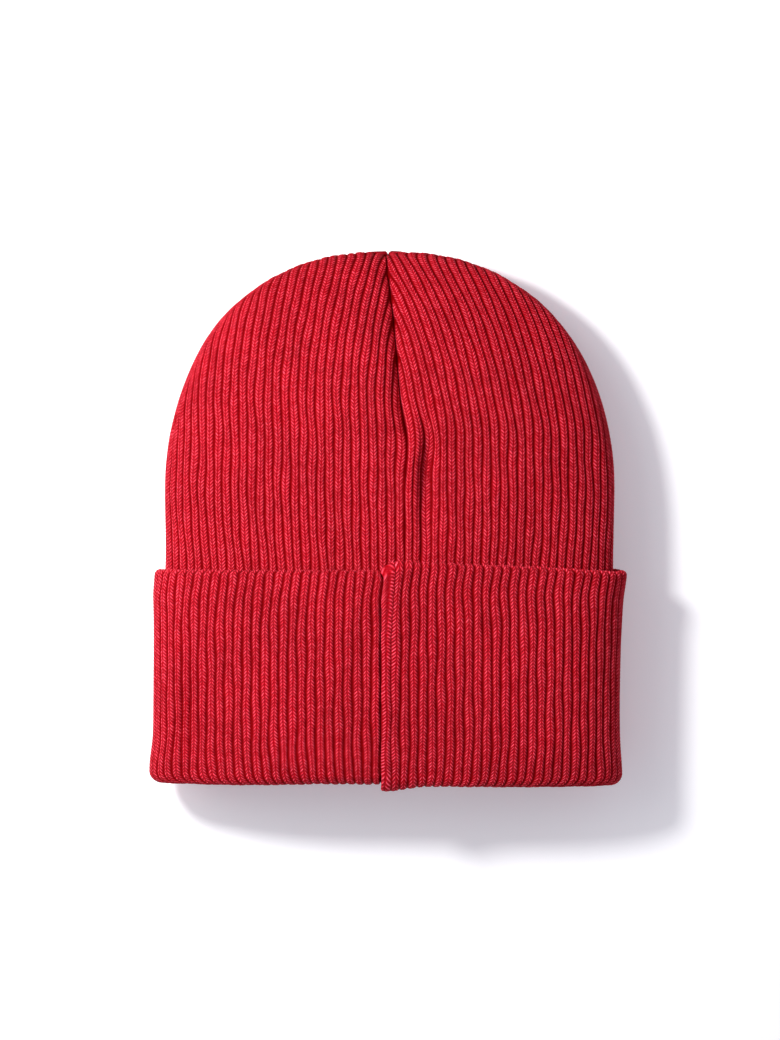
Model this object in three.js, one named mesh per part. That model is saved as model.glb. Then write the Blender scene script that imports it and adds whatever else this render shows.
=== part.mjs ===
// A rib-knit beanie with a deep turned-up cuff. The knit is one long tube pushed up inside itself, so every
// wall is two layers: the body has an outer shell and a lining, and the cuff an outer and an inner layer.
// It lies on its front with its back up, gently filled out. Millimetres: +Z is up off the table, +Y runs from
// the open end to the tip of the crown, and the origin is on the table under the middle of the hat.
import * as THREE from "three";

// ---- Overall sizes ----
const LENGTH = 240; // from the open end, where the cuff turns up, to the tip of the crown
const BODY_WIDTH = 201; // across the body above the cuff
const THICKNESS = 56; // height of the cuff off the table
const CUFF_HEIGHT = 97; // from the open end to the cuff's hem
const CROWN_LENGTH = 112; // the part of the body whose sides round in to the tip
const TAPER_LENGTH = 100; // the part of the body that gets thinner towards the tip
const TIP_HEIGHT = 20; // the tip of the crown off the table
const DART_LENGTH = 96; // the four sewn darts of the crown, from the tip down
const DROOP_LENGTH = 40; // past the cuff, the way over which the front of the body sinks to the table

// ---- Layers, seams and trimmings ----
const KNIT = 1.9; // one layer of rib knit
const CLEARANCE = 0.3; // air between two pieces that lie on each other
const SEAM_THICKNESS = 0.6; // an overlocked seam, pressed flat
const SEAM_WIDTH = 5;
const TACK_RADIUS = 1.8; // the thread knot that holds the lining up in the crown
const LABEL_WIDTH = 34;
const LABEL_LENGTH = 20;
const LABEL_THICKNESS = 0.5; // a satin label folded once
const LABEL_FROM_TURN = 22; // from the open end to the near edge of the label
const STITCH_WIDTH = 1; // the row of stitches that holds the label
const STITCH_THICKNESS = 0.4;

// ---- How rounded the shape is: exponents of superellipses, 2 for an ellipse and more for a squarer one ----
const PLAN_ALONG = 2.25;
const PLAN_ACROSS = 2.2;
const TAPER_ALONG = 2.2;
const TAPER_ACROSS = 2;
const BACK_ROUND = 2.5; // the upper half of a section
const FRONT_ROUND = 3.5; // the lower half, which the table flattens
const FLATTENING = 0.8; // how much of the lower half the table takes off

// ---- How finely the round shapes are divided ----
const AROUND = 48;
const CUFFED_STEPS = 3;
const STRAIGHT_STEPS = 3;
const CROWN_STEPS = 11;
const TURN_STEPS = 8;
const SEAM_SPANS = 3;

// ---- Depths below the body's own outer face; the cuff lies outside it, so its depths are negative ----
const seamRoom = SEAM_THICKNESS + 2 * CLEARANCE;
const SHELL = { out: 0, in: KNIT };
const SHELL_SEAM = { out: KNIT + CLEARANCE, in: KNIT + CLEARANCE + SEAM_THICKNESS };
const LINING_SEAM = { out: SHELL_SEAM.in + CLEARANCE, in: SHELL_SEAM.in + CLEARANCE + SEAM_THICKNESS };
const LINING = { out: LINING_SEAM.in + CLEARANCE, in: LINING_SEAM.in + CLEARANCE + KNIT };
const CUFF_INNER = { out: -CLEARANCE - KNIT, in: -CLEARANCE };
const CUFF_SEAM = { out: CUFF_INNER.out - CLEARANCE - SEAM_THICKNESS, in: CUFF_INNER.out - CLEARANCE };
const CUFF_OUTER = { out: CUFF_INNER.out - seamRoom - KNIT, in: CUFF_INNER.out - seamRoom };
const LABEL = { out: LINING.in + CLEARANCE, in: LINING.in + CLEARANCE + LABEL_THICKNESS };
const LABEL_STITCH = { out: LABEL.in + CLEARANCE, in: LABEL.in + CLEARANCE + STITCH_THICKNESS };
const CUFF_STANDS_OUT = -CUFF_OUTER.out; // how far the cuff's face stands out from the body
const TURN_RADIUS = (LINING.in - CUFF_OUTER.out) / 2; // the cuff's turn goes round all the layers
const HEM_RADIUS = (CUFF_INNER.in - CUFF_OUTER.out) / 2; // the fold at the hem goes round the cuff's two

// ---- Places along the hat ----
const TIP_Y = LENGTH / 2;
const TURN_Y = TURN_RADIUS - LENGTH / 2; // the middle of the turn at the open end
const HEM_Y = CUFF_HEIGHT - LENGTH / 2;
const HEM_FOLD_Y = HEM_Y - HEM_RADIUS; // the middle of the fold at the hem
const CUFF_MIDDLE_Y = (TURN_Y + HEM_FOLD_Y) / 2;
const CROWN_Y = TIP_Y - CROWN_LENGTH;
const TAPER_Y = TIP_Y - TAPER_LENGTH;
const DART_Y = TIP_Y - DART_LENGTH;

const QUARTER = Math.PI / 2; // a quarter turn
const clamp01 = (x) => Math.min(1, Math.max(0, x));
const smooth = (x) => clamp01(x) ** 2 * (3 - 2 * clamp01(x));
const mix = (from, to, share) => from + (to - from) * share;
// A quarter of a superellipse: 1 up to share 0, and down to 0 at share 1.
const closing = (share, along, across) => (1 - clamp01(share) ** along) ** (1 / across);

// The hat's section at y, at a depth below the body's face: its half width, the height of its middle, how far
// it rises above that and drops below it, and the floor that flattens it.
function section(y, depth) {
  const narrowing = closing((y - CROWN_Y) / (CROWN_LENGTH - depth), PLAN_ALONG, PLAN_ACROSS);
  const taper = closing((y - TAPER_Y) / (TAPER_LENGTH - depth), TAPER_ALONG, TAPER_ACROSS);
  const middle = mix(THICKNESS / 2, TIP_HEIGHT, smooth((y - HEM_Y) / (TIP_Y - HEM_Y)));
  const lift = CUFF_STANDS_OUT * (1 - smooth((y - HEM_Y) / DROOP_LENGTH));
  return {
    width: (BODY_WIDTH / 2 - depth) * narrowing,
    middle,
    rise: (THICKNESS - CUFF_STANDS_OUT - middle - depth) * taper,
    drop: (middle - lift + FLATTENING - depth) * taper,
    floor: lift + depth,
  };
}

// The point at y and at an angle round the section: 0 is the +X side, and a quarter turn is the back, on top.
function bagPoint(y, angle, depth) {
  const s = section(y, depth);
  const cos = Math.cos(angle);
  const sin = Math.sin(angle);
  const round = sin > 0 ? BACK_ROUND : FRONT_ROUND;
  const reach = (Math.abs(cos) ** round + Math.abs(sin) ** round) ** (-1 / round);
  const z = s.middle + (sin > 0 ? s.rise : s.drop) * sin * reach;
  return new THREE.Vector3(s.width * cos * reach, y, Math.max(z, Math.min(s.floor, s.middle)));
}

// The angle that lies `arc` mm round the section from `angle`, found by walking there in short steps.
function angleAlong(y, angle, arc, depth) {
  const steps = 24;
  const probe = 1e-3;
  for (let i = 0; i < steps; i++) {
    const ahead = bagPoint(y, angle + probe, depth);
    const behind = bagPoint(y, angle - probe, depth);
    angle += (arc / steps) * (2 * probe) / ahead.distanceTo(behind);
  }
  return angle;
}

// The rows that every shell and seam shares, as functions of depth, so that pieces that lie on each other
// have their facets in the same places: even steps up to the cuff's hem and from there to the foot of the
// darts, then steps that close up to the tip.
const count = (n) => [...Array(n).keys()];
const cuffedRow = (i) => () => mix(TURN_Y + CLEARANCE, HEM_Y, i / CUFFED_STEPS);
const straightRow = (i) => () => mix(HEM_Y, DART_Y, i / STRAIGHT_STEPS);
const crownRow = (i) => (depth) => mix(DART_Y, TIP_Y - depth, Math.sin((i / CROWN_STEPS) * QUARTER));
const belowDarts = [...count(CUFFED_STEPS).map(cuffedRow), ...count(STRAIGHT_STEPS).map(straightRow)];
const fromDarts = count(CROWN_STEPS + 1).map(crownRow);
const bodyRows = [...belowDarts, ...fromDarts];

// ---- Closed meshes from rows of points ----
function solid(points, triangles) {
  const spread = ([a, b, c]) => points[a].dot(points[b].clone().cross(points[c]));
  const volume = triangles.reduce((sum, triangle) => sum + spread(triangle), 0);
  const index = triangles.flatMap(([a, b, c]) => (volume < 0 ? [a, c, b] : [a, b, c]));
  const geometry = new THREE.BufferGeometry().setFromPoints(points).setIndex(index);
  geometry.computeVertexNormals();
  return geometry;
}

// Joins rings of points, each with as many points as the last. Where `loops` is true the last ring joins the
// first. Otherwise the two end rings, which are bands two points deep, are closed by a cap.
function loft(rings, loops) {
  const n = rings[0].length;
  const points = rings.flat();
  const same = (a, b) => points[a].distanceToSquared(points[b]) < 1e-8;
  const triangles = [];
  const quad = (a, b, c, d) => {
    if (!same(a, b) && !same(b, c) && !same(a, c)) triangles.push([a, b, c]);
    if (!same(a, c) && !same(c, d) && !same(a, d)) triangles.push([a, c, d]);
  };
  count(loops ? rings.length : rings.length - 1).forEach((i) => {
    const here = i * n;
    const next = ((i + 1) % rings.length) * n;
    count(n).forEach((j) => quad(here + j, here + ((j + 1) % n), next + ((j + 1) % n), next + j));
  });
  if (!loops) {
    const last = points.length - n;
    count(n / 2 - 1).forEach((j) => {
      quad(j, n - 1 - j, n - 2 - j, j + 1);
      quad(last + j, last + j + 1, last + n - 2 - j, last + n - 1 - j);
    });
  }
  return weld(points, triangles);
}

// One vertex for each place, so that a ring that has shrunk to the tip is a single point.
function weld(points, triangles) {
  const seen = new Map();
  const kept = [];
  const to = points.map((p) => {
    const key = p.toArray().map((x) => Math.round(x * 1e4)).join();
    if (!seen.has(key)) seen.set(key, kept.push(p) - 1);
    return seen.get(key);
  });
  return solid(kept, triangles.map((t) => t.map((v) => to[v])));
}

const ring = (y, depth) => count(AROUND).map((i) => bagPoint(y, (i / AROUND) * 2 * Math.PI, depth));

// ---- The knit ----
// A cup of knit from where the cuff's turn ends up to the tip: its outer face, and its inner face back down.
function knitShell(layer) {
  const outward = bodyRows.map((row) => ring(row(layer.out), layer.out));
  const inward = bodyRows.map((row) => ring(row(layer.in), layer.in));
  return loft([...outward, ...inward.reverse()], true);
}

// A strap of knit swept round the hat. Its path is a list of { y, depth, lean }, where lean is the way from
// the path to the strap's first face, in radians: 0 is outwards and a quarter turn is towards the tip.
function knitBand(path) {
  const face = (side) => path.map((p) => ({
    y: p.y + side * Math.sin(p.lean) * KNIT / 2,
    depth: p.depth - side * Math.cos(p.lean) * KNIT / 2,
  }));
  return loft([...face(1), ...face(-1).reverse()].map((p) => ring(p.y, p.depth)), true);
}

const halfWay = (layer) => (layer.out + layer.in) / 2;
// The path of a half turn between two layers, about a centre at y, from one lean to another.
function turnPath(outer, inner, y, from, to) {
  const radius = (halfWay(inner) - halfWay(outer)) / 2;
  const centre = (halfWay(inner) + halfWay(outer)) / 2;
  return count(TURN_STEPS + 1).map((i) => {
    const lean = mix(from, to, i / TURN_STEPS);
    return { y: y + radius * Math.sin(lean), depth: centre - radius * Math.cos(lean), lean };
  });
}

// The cuff's outer layer: over the hem from the inner layer, down the face, and round under the open end to
// the lining. A step in the middle of the face keeps its facets short.
const cuffOuterPath = [
  ...turnPath(CUFF_OUTER, CUFF_INNER, HEM_FOLD_Y, Math.PI, 0),
  { y: CUFF_MIDDLE_Y, depth: halfWay(CUFF_OUTER), lean: 0 },
  ...turnPath(CUFF_OUTER, LINING, TURN_Y, 0, -Math.PI),
];
// The cuff's inner layer: down from the hem, and round to the shell.
const cuffInnerPath = [
  { y: HEM_FOLD_Y - CLEARANCE, depth: halfWay(CUFF_INNER), lean: 0 },
  { y: CUFF_MIDDLE_Y, depth: halfWay(CUFF_INNER), lean: 0 },
  ...turnPath(CUFF_INNER, SHELL, TURN_Y, 0, -Math.PI),
];

// ---- Seams and trimmings ----
// A flat strip that follows the hat: it is centred on an angle round the section and has its own rows.
function strip(rows, angle, width, layer) {
  const across = count(SEAM_SPANS + 1).map((i) => mix(-width / 2, width / 2, i / SEAM_SPANS));
  const edge = (row, depth) => across.map((arc) =>
    bagPoint(row(depth), angleAlong(row(depth), angle, arc, depth), depth));
  return loft(rows.map((row) => [...edge(row, layer.out), ...edge(row, layer.in).reverse()]), false);
}
const fixedRow = (y) => () => y;
const BACK = QUARTER;
const SIDES = { right: 0, back: BACK, left: 2 * QUARTER, front: 3 * QUARTER };
// The body's seam runs up to the foot of the darts, and the darts from there to the last row before the tip.
const bodySeamRows = [...belowDarts, fixedRow(DART_Y - CLEARANCE)];
const dartRows = fromDarts.slice(0, -1);
const cuffSeamRows = [fixedRow(TURN_Y), fixedRow(CUFF_MIDDLE_Y), fixedRow(HEM_FOLD_Y)];

// A knot of thread at the tip, between the shell and the lining.
function crownTack() {
  const room = LINING.out - SHELL.in;
  const geometry = new THREE.CylinderGeometry(TACK_RADIUS, TACK_RADIUS, room / 2, 12);
  return geometry.translate(0, TIP_Y - LINING.out + CLEARANCE + room / 4, TIP_HEIGHT);
}

// ---- Materials ----
const knit = new THREE.MeshStandardMaterial({ color: 0xb01224, roughness: 0.9, metalness: 0 });
const thread = new THREE.MeshStandardMaterial({ color: 0x9c0f20, roughness: 0.7, metalness: 0 });
const satin = new THREE.MeshStandardMaterial({ color: 0xf2efe8, roughness: 0.45, metalness: 0 });

// ---- The hat ----
const beanie = new THREE.Group();
function add(name, geometry, material) {
  const mesh = new THREE.Mesh(geometry, material);
  mesh.name = name;
  beanie.add(mesh);
}

add("outer_shell", knitShell(SHELL), knit);
add("lining_shell", knitShell(LINING), knit);
add("cuff_outer_layer", knitBand(cuffOuterPath), knit);
add("cuff_inner_layer", knitBand(cuffInnerPath), knit);

add("back_seam", strip(bodySeamRows, BACK, SEAM_WIDTH, SHELL_SEAM), thread);
add("lining_back_seam", strip(bodySeamRows, BACK, SEAM_WIDTH, LINING_SEAM), thread);
add("cuff_back_seam", strip(cuffSeamRows, BACK, SEAM_WIDTH, CUFF_SEAM), thread);
for (const [side, angle] of Object.entries(SIDES)) {
  add("crown_dart_seam_" + side, strip(dartRows, angle, SEAM_WIDTH, SHELL_SEAM), thread);
  add("lining_dart_seam_" + side, strip(dartRows, angle, SEAM_WIDTH, LINING_SEAM), thread);
}
add("crown_tack", crownTack(), thread);

const labelY = LABEL_FROM_TURN - LENGTH / 2;
const labelRows = [fixedRow(labelY), fixedRow(labelY + LABEL_LENGTH)];
const stitchY = labelY + LABEL_LENGTH - 2 * STITCH_WIDTH;
const stitchRows = [fixedRow(stitchY), fixedRow(stitchY + STITCH_WIDTH)];
add("care_label", strip(labelRows, BACK, LABEL_WIDTH, LABEL), satin);
add("care_label_stitching", strip(stitchRows, BACK, LABEL_WIDTH - 4 * STITCH_WIDTH, LABEL_STITCH), thread);

export default beanie;
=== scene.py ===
# %% [markdown]
# # A red rib-knit beanie with a deep cuff
# A beanie is one long tube of rib knit. Half of it is pushed up inside the other half, so every wall is two
# layers, and the open end is turned up as a cuff. The crown is shaped by four sewn darts that meet at the
# tip. This lesson rebuilds it around the CAD part, which says where each layer lies. Here each layer gets
# its ribs, its stitches and the small accidents of a hat that was sewn by hand and put down on a table.

import bpy
import numpy as np
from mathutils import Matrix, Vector


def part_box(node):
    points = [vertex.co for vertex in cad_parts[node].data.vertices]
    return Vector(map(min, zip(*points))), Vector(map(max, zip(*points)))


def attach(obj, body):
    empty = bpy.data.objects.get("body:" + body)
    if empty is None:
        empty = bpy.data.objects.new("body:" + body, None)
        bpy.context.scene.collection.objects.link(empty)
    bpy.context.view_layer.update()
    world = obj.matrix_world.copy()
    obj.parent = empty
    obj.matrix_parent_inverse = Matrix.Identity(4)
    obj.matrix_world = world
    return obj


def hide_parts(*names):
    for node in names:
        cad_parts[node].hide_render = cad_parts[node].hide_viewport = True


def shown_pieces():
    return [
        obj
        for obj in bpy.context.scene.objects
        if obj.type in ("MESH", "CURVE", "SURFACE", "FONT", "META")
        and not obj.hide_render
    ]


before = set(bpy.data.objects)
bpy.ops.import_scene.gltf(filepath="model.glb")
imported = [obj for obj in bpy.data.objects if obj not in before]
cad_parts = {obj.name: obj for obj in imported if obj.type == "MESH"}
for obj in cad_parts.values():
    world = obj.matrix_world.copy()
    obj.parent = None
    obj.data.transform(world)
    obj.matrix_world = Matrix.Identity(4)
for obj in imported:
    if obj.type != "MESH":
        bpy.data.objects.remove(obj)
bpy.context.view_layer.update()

# %% [markdown]
# ## Sizes
# Every overall size is read from the boxes of the CAD pieces, so a hat of another size keeps its fit. What
# a box can't say, such as how round the crown is, has a name here and the same value as in the CAD. Blender
# works in metres, and a knitter thinks in millimetres, so each length is written as so many `mm`.

# %% Sizes from the CAD pieces
mm = 0.001
shell_low, shell_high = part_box("outer_shell")
cuff_low, cuff_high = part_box("cuff_outer_layer")
lining_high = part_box("lining_shell")[1]
label_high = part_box("care_label")[1]

BODY_HALF = (shell_high.x - shell_low.x) / 2
THICKNESS = cuff_high.z
TIP_Y = shell_high.y
OPEN_Y = cuff_low.y
HEM_Y = cuff_high.y

KNIT = 1.9 * mm  # one layer of rib knit
CLEAR = 0.3 * mm  # the air between layers that don't touch
CUFF_OUT = cuff_high.x - shell_high.x  # how far the cuff's face stands out from the body
LINING_OUT = shell_high.x - lining_high.x  # how deep the lining's outer face lies below the body's
LINING_IN = LINING_OUT + KNIT
CUFF_INNER_OUT = -CLEAR - KNIT
CUFF_INNER_IN = -CLEAR
TURN_RADIUS = (LINING_IN + CUFF_OUT) / 2
HEM_RADIUS = (CUFF_INNER_IN + CUFF_OUT) / 2
TURN_Y = OPEN_Y + TURN_RADIUS
HEM_FOLD_Y = HEM_Y - HEM_RADIUS

CROWN_LENGTH = 112 * mm  # the part whose sides round in to the tip
TAPER_LENGTH = 100 * mm  # the part that gets thinner towards the tip
TIP_HEIGHT = 20 * mm
DROOP_LENGTH = 40 * mm  # past the cuff, the way over which the front sinks to the table
DART_Y = TIP_Y - 96 * mm  # the foot of the darts
PLAN_ALONG, PLAN_ACROSS = 2.25, 2.2  # exponents of the outline seen from above
TAPER_ALONG, TAPER_ACROSS = 2.2, 2  # exponents of the thinning towards the tip
BACK_ROUND, FRONT_ROUND = 2.5, 3.5  # roundness of the loop's upper and lower half
FLATTENING = 0.8 * mm  # how far the front would reach below the table, which presses it flat
print("half width", round(BODY_HALF, 4), "cuff stands out", round(CUFF_OUT, 4))
print("lining depth", round(LINING_OUT, 4))

# %% [markdown]
# ## The shape every layer follows
# Seen from above, the hat is a rounded arch. Cut across, it is a flat, soft loop. It could be a sculpted
# ball or a simulated cloth, but then the layers would have to be kept apart by hand. Both curves are
# superellipses instead, an ellipse with another exponent than 2, which turns a corner more or less sharply.
# One formula gives the point at a place along the hat, a turn round it and a depth below the body's face,
# so that every layer is the same formula at its own depth and the layers can never cross.


# %% Curves that ease and close
def smooth(x):
    """3x² − 2x³ for x from 0 to 1, which leaves 0 and reaches 1 with no corner."""
    x = np.clip(x, 0, 1)
    return x * x * (3 - 2 * x)


def fade(x, start, end):
    """0 at start and before it, 1 at end and past it, and smooth between them, whichever of the two is
    larger."""
    return smooth((x - start) / (end - start))


def closing(share, along, across):
    """(1 − share^along)^(1/across): 1 at share 0, and 0 at share 1, as a quarter of a superellipse."""
    return (1 - np.clip(share, 0, 1) ** along) ** (1 / across)


# %% The soft loop at a place along the hat
def hat(y, turn, depth):
    """Points at y, at an angle round the hat (0 is the middle of the back, on top, and a quarter turn is
    the +X side), at a depth below the body's face. With c and s the sides of the angle and n the roundness,
    the loop's radius is (|c|^n + |s|^n)^(−1/n), stretched to the half width and to the rise or drop at y,
    and no lower than the floor, where the table flattens it."""
    narrowing = closing((y - (TIP_Y - CROWN_LENGTH)) / (CROWN_LENGTH - depth), PLAN_ALONG, PLAN_ACROSS)
    taper = closing((y - (TIP_Y - TAPER_LENGTH)) / (TAPER_LENGTH - depth), TAPER_ALONG, TAPER_ACROSS)
    middle = THICKNESS / 2 + (TIP_HEIGHT - THICKNESS / 2) * smooth((y - HEM_Y) / (TIP_Y - HEM_Y))
    lift = CUFF_OUT * (1 - smooth((y - HEM_Y) / DROOP_LENGTH))
    across, up = np.sin(turn), np.cos(turn)
    n = np.where(up > 0, BACK_ROUND, FRONT_ROUND)
    reach = (np.abs(across) ** n + np.abs(up) ** n) ** (-1 / n)
    rise = (THICKNESS - CUFF_OUT - middle - depth) * taper
    drop = (middle - lift + FLATTENING - depth) * taper
    x = (BODY_HALF - depth) * narrowing * across * reach
    z = middle + np.where(up > 0, rise, drop) * up * reach
    z = np.maximum(z, np.minimum(lift + depth, middle))
    return np.stack(np.broadcast_arrays(x, y, z), axis=-1)


# %% [markdown]
# ## Walking round the hat in even steps
# Ribs are evenly spaced along the cloth, not along the angle. So the formula is measured first: at each
# place along the hat, the distance walked round it is summed in small steps, and then read backwards to
# find the angle after any distance. Reading all rows backwards at once is one interpolation, if each row's
# distances are pushed past those of the row before.


# %% Distances round the hat
ROW_APART = 10.0  # metres, far more than any distance round the hat
TIP_STOP = 0.2 * mm  # at the very tip there is nothing to walk round


def read_rows(x, xs, values):
    """For each row, the value at x by straight lines between the points (xs, values) of the same row."""
    apart = ROW_APART * np.arange(len(x))[:, None]
    xs, values = np.broadcast_arrays(xs + apart, values + apart)
    return np.interp((x + apart).ravel(), xs.ravel(), values.ravel()).reshape(x.shape) - apart


def distances(y, depth, steps=720, spare=90):
    """Angles from a little before the top to a full turn and a little more, and for each row the distance
    walked to each of them from the top: the sum of the short chords on the way."""
    turns = np.linspace(-spare, steps + spare, steps + 2 * spare + 1) * 2 * np.pi / steps
    points = hat(y[:, None], turns[None, :], depth[:, None])
    chords = np.linalg.norm(np.diff(points, axis=1), axis=-1)
    walked = np.concatenate([np.zeros((len(y), 1)), np.cumsum(chords, axis=1)], axis=1)
    walked -= walked[:, spare : spare + 1]
    return turns[None, :], walked, walked[:, spare + steps]


def turns_after(y, depth, walk):
    """The angle reached after walking each distance of walk, for each row, and the girth of each row."""
    turns, walked, girth = distances(np.minimum(y, TIP_Y - depth - TIP_STOP), depth)
    return read_rows(walk(girth[:, None]), walked, turns), girth


base_girth = distances(np.array([0.0]), np.zeros(1))[2][0]
print("girth of the body", round(base_girth, 4))

# %% [markdown]
# ## The knit
# In one-by-one rib, each rib is a column of V-shaped stitches that stands forward, and between two ribs the
# cloth drops back into a narrow groove. Every loop could be modelled as yarn, but the hat has tens of
# thousands of them, so here a smooth surface is raised and lowered by a formula. Two numbers say where a
# point lies in the knit: its `wale`, counted in ribs across, whole on a crest, and its `course`, counted in
# stitches along. Both go into a UV map, so that the material can put the yarn on the same stitches that the
# mesh raises. No machine knits evenly, so both numbers are bent a little by slow waves before they are
# used.

# %% Sizes of the rib
RIBS_PER_QUARTER = 29
COURSE = 1.5 * mm  # one row of stitches
RIB_DEPTH = 1.3 * mm
RIB_SHAPE = 2.6  # higher is a flatter crest and a narrower groove
STITCH_DEPTH = 0.18 * mm
CREST_DIP = 0.22 * mm  # down the middle of a rib, where the legs of its stitches meet
SLOW_DEPTH = 0.12 * mm  # how much some ribs stand up or sink
ARC_LEAN = 1.8  # courses that the raised arc of a stitch climbs in one rib's width
STITCH_LEAN = 3.1  # the same for the yarn of its legs, which the material draws
QUARTER = base_girth / 4
PITCH = QUARTER / RIBS_PER_QUARTER
print("rib pitch", round(PITCH / mm, 2), "mm")

# %% The uneven hand of the machine
WAVES = ((1.9, 0.21, 0.0), (2.7, -0.13, 1.1), (1.3, 0.37, 2.0))  # angle per rib, per course, and at the start
WANDER, DRIFT = 0.035, 0.12  # in ribs, and in courses
STAGGER = np.random.default_rng(7).random(256)


def uneven(wale, course):
    """The wale plus WANDER times a sum of slow sines of both numbers, and the course moved by an amount of
    its own for each rib, so that the stitches of neighbouring ribs are out of step, plus one more slow
    sine. The moves meet in the grooves, where no stitch shows."""
    wale = wale + WANDER * sum(np.sin(a * wale + b * course + start) for a, b, start in WAVES)
    own = STAGGER[np.round(wale).astype(int) % len(STAGGER)]
    return wale, course + own + DRIFT * np.sin(0.7 * wale + 0.31 * course)


print("the first ribs are out of step by", STAGGER[:4].round(2), "courses")


# %% The relief of a one-by-one rib
def relief(wale, course):
    """How far the face lies below the crests. With a the distance from the crest in ribs, 0 to 0.5, the
    groove is (2a)^shape deep, each stitch is an arc, a cosine of the course that leans away from the crest,
    a narrow dip exp(−(a/0.07)²) runs down the middle of the rib, and a slow sine lets whole ribs stand up
    or sink."""
    a = np.abs(wale - np.round(wale))
    groove = RIB_DEPTH * (2 * a) ** RIB_SHAPE
    between = 0.5 - 0.5 * np.cos(2 * np.pi * (course - ARC_LEAN * a))
    on_rib = smooth((0.46 - a) / 0.16)
    dip = CREST_DIP * np.exp(-((a / 0.07) ** 2))
    slow = SLOW_DEPTH * np.sin(1.7 * wale + 0.09 * course)
    return groove + STITCH_DEPTH * between * on_rib + dip + slow


groove_depth = relief(np.array(0.5), 0.0) - relief(np.array(0.0), 0.0)
print("groove below crest", round(float(groove_depth) / mm, 2), "mm")

# %% [markdown]
# ## From a grid to a closed piece
# A layer of knit is a thin slab. A Solidify modifier could thicken its face, but it would copy all of its
# fine faces to a back that nobody looks at. So the face is a fine grid that carries the relief, and the
# back is a coarse grid that uses every so many of the same rows and columns. The edges between them are
# zipped: each long edge of the back takes a fan of triangles to the short edges of the face. The result is
# a closed solid with its faces outwards, at about half the triangles of two fine grids.


# %% Faces between lines and grids of points
def zip_edges(fine, coarse):
    """Triangles between a line of fine vertices and a line of coarse ones, where each coarse step spans the
    same number of fine steps: half the fan goes to the near coarse vertex and half to the far one."""
    n = len(coarse) - 1
    k = (len(fine) - 1) // n
    step, i = np.meshgrid(np.arange(n), np.arange(k), indexing="ij")
    tip = np.where(i < k // 2, coarse[:-1][:, None], coarse[1:][:, None])
    fan = np.stack([fine[step * k + i], fine[step * k + i + 1], tip], axis=-1).reshape(-1, 3)
    middle = np.stack([fine[np.arange(n) * k + k // 2], coarse[1:], coarse[:-1]], axis=-1)
    return np.concatenate([fan, middle])


def grid_quads(index):
    """The quads of a grid of vertex numbers, wound so that columns × rows points out of the face."""
    a, b = index[:-1, :-1], index[:-1, 1:]
    c, d = index[1:, 1:], index[1:, :-1]
    return np.stack([a, b, c, d], axis=-1).reshape(-1, 4)


# %% A mesh from arrays
def mesh_piece(name, points, knit_map, quads, triangles):
    """A mesh object at the origin from points, their places in the knit, and faces. Points that no face
    uses are dropped, and the rest are numbered again in the same order."""
    used, corners = np.unique(np.concatenate([quads.ravel(), triangles.ravel()]), return_inverse=True)
    corners = corners.ravel().astype(np.int32)
    sizes = np.repeat([4, 3], [len(quads), len(triangles)]).astype(np.int32)
    starts = np.concatenate([[0], np.cumsum(sizes)[:-1]]).astype(np.int32)
    mesh = bpy.data.meshes.new(name)
    mesh.vertices.add(len(used))
    mesh.vertices.foreach_set("co", points[used].astype(np.float32).ravel())
    mesh.loops.add(len(corners))
    mesh.loops.foreach_set("vertex_index", corners)
    mesh.polygons.add(len(sizes))
    mesh.polygons.foreach_set("loop_start", starts)
    mesh.polygons.foreach_set("loop_total", sizes)
    mesh.update(calc_edges=True)
    mesh.validate()
    mesh.shade_smooth()
    layer = mesh.uv_layers.new(name="knit")
    layer.data.foreach_set("uv", knit_map[used][corners].astype(np.float32).ravel())
    piece = bpy.data.objects.new(name, mesh)
    bpy.context.scene.collection.objects.link(piece)
    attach(piece, "root")
    print(name, 2 * len(quads) + len(triangles), "triangles")
    return piece


# %% A closed slab of knit
def knit_slab(name, face, back, wale, course, coarse_by, pole=False, inside=False):
    """A closed slab from a fine face grid and a back grid of the same size, of which every coarse_by-th row
    and column is kept. At a pole the last row is one point, met by triangles. An inside slab's face looks
    inwards."""
    rows, columns = (np.arange(0, n, coarse_by) for n in face.shape[:2])
    kept = np.ix_(rows, columns)
    front = np.arange(face[..., 0].size).reshape(face.shape[:2])
    rear = front.size + np.arange(len(rows) * len(columns)).reshape(len(rows), len(columns))
    if pole:
        front[-1], rear[-1] = front[-1, 0], rear[-1, 0]
    triangles = [
        zip_edges(front[0, ::-1], rear[0, ::-1]),
        zip_edges(front[:, 0], rear[:, 0]),
        zip_edges(front[::-1, -1], rear[::-1, -1]),
    ]
    if pole:
        triangles += [grid_quads(front[-2:])[:, :3], grid_quads(rear[-2:])[:, [0, 2, 1]]]
        front, rear = front[:-1], rear[:-1]
    else:
        triangles.append(zip_edges(front[-1], rear[-1]))
    quads = np.concatenate([grid_quads(front), grid_quads(rear)[:, ::-1]])
    triangles = np.concatenate(triangles)
    if inside:
        quads, triangles = quads[:, ::-1], triangles[:, ::-1]
    points = np.concatenate([face.reshape(-1, 3), back[kept].reshape(-1, 3)])
    knit_map = np.stack([wale, course], axis=-1)
    knit_map = np.concatenate([knit_map.reshape(-1, 2), knit_map[kept].reshape(-1, 2)])
    return mesh_piece(name, points, knit_map, quads, triangles)


# %% Which way is out
def normals_of(points, pole=False):
    """Unit normals of a grid that closes on itself across: the cross product of its two slopes, over its
    length. A pole's normal is the hat's own direction, +Y."""
    ring = points[:, :-1]
    across = np.roll(ring, -1, axis=1) - np.roll(ring, 1, axis=1)
    normal = np.cross(across, np.gradient(ring, axis=0))
    length = np.linalg.norm(normal, axis=-1, keepdims=True)
    normal = normal / np.maximum(length, 1e-12)
    normal = np.concatenate([normal, normal[:, :1]], axis=1)
    if pole:
        normal[-1] = (0, 1, 0)
    return normal


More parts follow.
